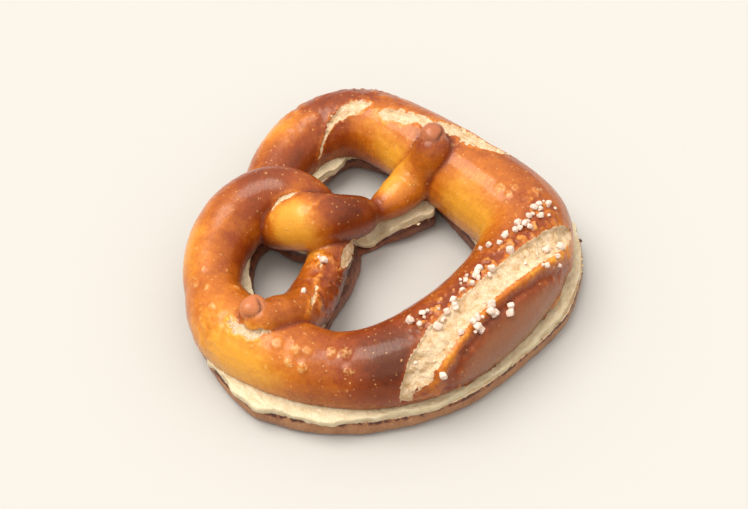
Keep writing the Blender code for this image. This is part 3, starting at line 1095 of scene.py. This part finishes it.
            # painted shade: the crease is painted nearly black on the side away from the lamp
            self.crease = np.maximum(self.crease, 0.9 * curl)

    def finish(self):
        """Move the skin, and keep the numbers that the material reads."""
        points = self.points + normals_of(self.thing) * self.lift[:, None]
        points[:, 2] = np.maximum(points[:, 2], TOP_FLOOR)
        move_points(self.thing, points)
        for name in ("brown", "tear", "blister", "nub", "dull", "rough", "crease", "along", "around"):
            store(self.thing, name, getattr(self, name))


def foot_blank(name, strand, inset, level, flattening, voxel, smoothings, floor, ceiling):
    """Return the skin of the strand's foot, pressed flat between two heights."""
    points, radius, _ = strand.foot_line()
    tube = add_tube(name, points, radius - inset)
    choose(tube)
    bpy.ops.transform.resize(value=(1.0, 1.0, flattening), center_override=(0.0, 0.0, 0.0))
    bpy.ops.transform.translate(value=(0.0, 0.0, level * MM))
    made = one_skin(name, [tube], voxel, 2)
    flat = points_of(made)
    flat[:, 2] = np.clip(flat[:, 2], floor, ceiling)
    move_points(made, flat)
    finish_modifier(made, "SMOOTH", factor=0.5, iterations=smoothings)
    return made


def give(thing, material, node, smooth=True):
    """Give a finished piece its shading and material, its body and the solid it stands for."""
    if smooth:
        choose(thing)
        bpy.ops.object.shade_smooth()
    thing.data.materials.clear()
    thing.data.materials.append(material)
    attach(thing, "root")
    if node:
        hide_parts(node)


class PRETZEL_OT_lower_half(bpy.types.Operator):
    """Build the lower slice: brown round its edge, with the level cut on top"""

    bl_idname = "pretzel.lower_half"
    bl_label = "Lower Half"

    def execute(self, context):
        strand = Strand()
        made = foot_blank("lower_half", strand, inset=0.0, level=FOOT_MIDDLE,
                          flattening=FOOT_FLATTENING, voxel=BASE_FINENESS, smoothings=1,
                          floor=0.0, ceiling=BASE_TOP)
        points = points_of(made)
        normals = normals_of(made)
        out = normals * (1.0, 1.0, 0.0)
        sideways = np.linalg.norm(out, axis=1)
        lift = clouds(points, WALL_WAVES)
        lift -= FOOT_ROUNDING * np.maximum(FOOT_ROUNDED_TO - points[:, 2], 0.0) ** 2
        points += out * lift[:, None]
        face = ease(points[:, 2], BASE_TOP - 0.5, BASE_TOP)
        rim = face * ease(sideways, 0.1, 0.5)
        points[:, 2] += face * clouds(points, FACE_WAVES) + 0.3 * rim
        points[:, 2] = np.maximum(points[:, 2], 0.0)
        points += out * (0.5 * rim * cloud(points, 1.3, 26))[:, None]
        store(made, "level", points[:, 2])
        # painted shade: the lower slice's wall is darker inside the knot, where it faces the holes under
        # the upper slice
        outer = ease(np.hypot(points[:, 0], points[:, 1]), *OUTER_WALL)
        store(made, "brown", 0.82 - 0.33 * outer)
        store(made, "closed", closed_seam(points))
        move_points(made, strand.lean(points))
        give(made, base_material(), "base_slice")
        return {"FINISHED"}


class PRETZEL_OT_butter(bpy.types.Operator):
    """Build the butter: a layer through the whole knot, smeared over the edge of the cut"""

    bl_idname = "pretzel.butter"
    bl_label = "Butter"

    def execute(self, context):
        settings = context.scene.pretzel_butter
        strand = Strand()
        made = foot_blank("butter_spread", strand, inset=settings.inset / MM,
                          level=(BASE_TOP + TOP_FLOOR) / 2.0, flattening=1.0,
                          voxel=settings.fineness / MM, smoothings=6,
                          floor=BASE_TOP - BUTTER_OVERLAP, ceiling=TOP_FLOOR + BUTTER_OVERLAP)
        points = points_of(made)
        normals = normals_of(made)
        out = normals * (1.0, 1.0, 0.0)
        smear = 1.7 * cloud(points * (1.0, 1.0, 0.3), 8.0, 31)
        smear += 0.9 * cloud(points * (1.0, 1.0, 0.5), 3.6, 32)
        smear += 0.3 * cloud(points, 1.3, 33)
        smear -= BUTTER_HELD_BACK * closed_seam(points)
        for _, x, y, reach, push in SMEARS:
            smear += push * spot(points, x, y, reach)
        points += out * smear[:, None]
        top = ease(normals[:, 2], 0.2, 0.8)
        along, _, _ = strand.places(points)
        x, y = points[:, 0], points[:, 1]
        strokes = np.abs(cloud(np.column_stack([along * 0.12, x + y, x - y]), 3.0, 35))
        points[:, 2] += top * (0.5 * cloud(points, 4.5, 34) + 0.55 * strokes - 0.1)
        move_points(made, strand.lean(points))
        give(made, butter_material(settings), "butter")
        return {"FINISHED"}


class PRETZEL_OT_upper_half(bpy.types.Operator):
    """Build the upper slice: the knot itself, its tips, the slash and the torn patches"""

    bl_idname = "pretzel.upper_half"
    bl_label = "Upper Half"

    def execute(self, context):
        settings = context.scene.pretzel_crust
        strand = Strand()
        parts = [add_tube("upper_half", strand.middle, strand.radius)]
        for end, rise, radius in NUBS:
            place = strand.middle[end] + (0.0, 0.0, rise)
            bpy.ops.mesh.primitive_uv_sphere_add(
                segments=48, ring_count=32, radius=radius * MM, location=Vector(place) * MM,
                scale=NUB_STRETCH)
            parts.append(bpy.context.object)
        made = one_skin("upper_half", parts, settings.fineness / MM, 4)
        middles = read(made.data.polygons, "center") / MM
        from_inner, from_outer = slash_place(middles)
        torn = np.minimum(from_inner + 6.0, from_outer + 3.5) > 0.0
        for _, _, path in TEARS:
            torn |= inside_tear(middles, path) > -1.2
        refine(made, torn)
        crust = Crust(made, strand, settings)
        for step in (crust.bake, crust.cut_slash, crust.roughen, crust.wrinkle, crust.tear_patches,
                     crust.raise_blisters, crust.shape_nubs, crust.finish):
            step()
        give(made, crust_material(settings), "top_slice")
        return {"FINISHED"}


def grain_mesh(name, pieces):
    """Return one object of many small stones: for each, its place, its three sizes and its seed."""
    bpy.ops.mesh.primitive_ico_sphere_add(subdivisions=2, radius=1.0, location=(0.0, 0.0, 0.0))
    pattern = bpy.context.object
    stone = points_of(pattern) * MM
    corners = np.array([face.vertices[:] for face in pattern.data.polygons])
    bpy.data.objects.remove(pattern, do_unlink=True)
    points, faces = [], []
    for number, (place, sizes, seed) in enumerate(pieces):
        random = np.random.default_rng(seed)
        turn, _ = np.linalg.qr(random.normal(size=(3, 3)))
        blunt = np.sign(stone) * np.abs(stone) ** 0.6
        rugged = blunt * (1.0 + 0.24 * cloud(stone * 1.3 + number * 7.0, 1.0, seed)[:, None])
        if sizes[2] < LYING_FLAT * sizes[0]:
            turn = np.eye(3)
        points.append((rugged * sizes) @ turn.T + place)
        faces.append(corners + number * len(stone))
    bpy.ops.mesh.primitive_plane_add(size=MM, location=(0.0, 0.0, 0.0))
    made = bpy.context.object
    made.name = name
    made.data.name = name
    made.data.clear_geometry()
    made.data.from_pydata(np.concatenate(points) * MM, [], np.concatenate(faces).tolist())
    made.data.update()
    return made


def direction(azimuth, elevation):
    """Return the unit vector that points from the object to that side and height."""
    turn, rise = math.radians(azimuth), math.radians(elevation)
    level = math.cos(rise)
    return Vector((math.sin(turn) * level, -math.cos(turn) * level, math.sin(rise)))


class PRETZEL_OT_salt(bpy.types.Operator):
    """Scatter coarse salt over the crust and the crumb of the slash"""

    bl_idname = "pretzel.salt"
    bl_label = "Salt"

    def execute(self, context):
        settings = context.scene.pretzel_salt
        random = np.random.default_rng(settings.seed)
        crust = surface_of(bpy.data.objects["upper_half"])
        middling = settings.grain / MM / 2.0
        pieces = []
        for _, x, y, reach, count in SALTED:
            for _ in range(count):
                size = middling * random.uniform(0.5, 1.35)
                at_x, at_y = (x, y) + reach * random.normal(size=2) * 0.75
                place, normal = drop(crust, at_x, at_y)
                sizes = size * random.uniform(0.75, 1.1, 3)
                if place is not None:
                    pieces.append((place + normal * size * 0.55, sizes, len(pieces)))
        made = grain_mesh("coarse_salt", pieces)
        give(made, salt_material(settings), None, smooth=False)
        return {"FINISHED"}


class PRETZEL_OT_crumbs(bpy.types.Operator):
    """Scatter crumbs and flakes of crust along the rim of the cut"""

    bl_idname = "pretzel.crumbs"
    bl_label = "Crumbs"

    def execute(self, context):
        random = np.random.default_rng(context.scene.pretzel_salt.seed + 1)
        cut = surface_of(bpy.data.objects["lower_half"])
        pieces = []
        for _, x, y, reach, count in CRUMBED:
            found = 0
            tries = 0
            while found < count:
                tries += 1
                if tries > MOST_TRIES:
                    raise RuntimeError("No part of the cut face is near a place that has crumbs")
                at_x, at_y = (x, y) + reach * random.normal(size=2) * 0.6
                place, normal = drop(cut, at_x, at_y)
                if place is None or place[2] < BASE_TOP - 1.0:
                    continue
                size = random.uniform(0.35, 1.1)
                flake = random.random() < 0.5
                sizes = size * np.array([1.0, random.uniform(0.6, 0.9), 0.2 if flake else 0.7])
                pieces.append((place + normal * sizes[2] * 0.5, sizes, len(pieces)))
                found += 1
        made = grain_mesh("crumbs", pieces)
        corners_each = len(made.data.vertices) // len(pieces)
        store(made, "brown", np.repeat(random.uniform(0.0, 1.0, len(pieces)), corners_each))
        give(made, crumb_material(), None)
        return {"FINISHED"}


class PRETZEL_OT_stage(bpy.types.Operator):
    """Set the pale board, the soft lamp, the even light and the camera"""

    bl_idname = "pretzel.stage"
    bl_label = "Stage"

    def execute(self, context):
        settings = context.scene.pretzel_stage
        scene = context.scene
        bpy.ops.object.select_all(action="DESELECT")
        bpy.ops.mesh.primitive_plane_add(size=6.0, location=(0.0, 0.0, 0.0))
        floor = bpy.context.object
        floor.name = "board"
        floor.data.materials.append(floor_material(settings))

        toward = direction(LAMP_AZIMUTH, LAMP_ELEVATION)
        bpy.ops.object.light_add(type="SUN", location=toward)
        lamp = bpy.context.object
        lamp.data.energy = settings.lamp
        lamp.data.angle = math.radians(LAMP_SPREAD)
        lamp.data.color = (1.0, 0.99, 0.97)
        lamp.rotation_euler = toward.to_track_quat("Z", "Y").to_euler()

        world = bpy.data.worlds.new("even light")
        scene.world = world
        world.use_nodes = True
        nodes = world.node_tree.nodes
        links = world.node_tree.links
        background = nodes["Background"]
        background.inputs["Color"].default_value = (1.0, 0.985, 0.965, 1.0)
        split = nodes.new("ShaderNodeSeparateXYZ")
        fade = nodes.new("ShaderNodeMapRange")
        fade.interpolation_type = "SMOOTHSTEP"
        fade.inputs["From Max"].default_value = SKY_TOP
        fade.inputs["To Min"].default_value = settings.sky * SKY_LOW
        fade.inputs["To Max"].default_value = settings.sky * SKY_HIGH
        links.new(nodes.new("ShaderNodeTexCoord").outputs["Generated"], split.inputs["Vector"])
        links.new(split.outputs["Z"], fade.inputs["Value"])
        links.new(fade.outputs["Result"], background.inputs["Strength"])
        scene.view_settings.view_transform = "Standard"

        back = direction(VIEW_AZIMUTH, VIEW_ELEVATION)
        bpy.ops.object.camera_add(location=Vector(AIM) * MM + back * VIEW_DISTANCE * MM)
        camera = bpy.context.object
        camera.rotation_euler = back.to_track_quat("Z", "Y").to_euler()
        camera.data.lens = settings.focal
        camera.data.sensor_width = 36.0
        scene.camera = camera
        return {"FINISHED"}


class PRETZEL_PT_panel(bpy.types.Panel):
    """Lists the pretzel's pieces in the sidebar"""

    bl_label = "Pretzel"
    bl_idname = "PRETZEL_PT_panel"
    bl_space_type = "VIEW_3D"
    bl_region_type = "UI"
    bl_category = "Pretzel"

    def draw(self, context):
        for operator in OPERATORS:
            self.layout.operator(operator.bl_idname)


OPERATORS = (PRETZEL_OT_lower_half, PRETZEL_OT_butter, PRETZEL_OT_upper_half, PRETZEL_OT_salt,
             PRETZEL_OT_crumbs, PRETZEL_OT_stage)
GROUPS = {
    "pretzel_crust": PretzelCrust,
    "pretzel_butter": PretzelButter,
    "pretzel_salt": PretzelSalt,
    "pretzel_stage": PretzelStage,
}


def register():
    """Register the settings, the operators and the panel."""
    for name, group in GROUPS.items():
        bpy.utils.register_class(group)
        setattr(bpy.types.Scene, name, PointerProperty(type=group))
    for made in (*OPERATORS, PRETZEL_PT_panel):
        bpy.utils.register_class(made)


def unregister():
    """Take back what register made."""
    for made in (PRETZEL_PT_panel, *reversed(OPERATORS)):
        bpy.utils.unregister_class(made)
    for name, group in reversed(GROUPS.items()):
        delattr(bpy.types.Scene, name)
        bpy.utils.unregister_class(group)


def main():
    """Build every piece in order."""
    register()
    bpy.ops.pretzel.lower_half()
    bpy.ops.pretzel.butter()
    bpy.ops.pretzel.upper_half()
    bpy.ops.pretzel.salt()
    bpy.ops.pretzel.crumbs()
    bpy.ops.pretzel.stage()


if __name__ == "__main__":
    main()
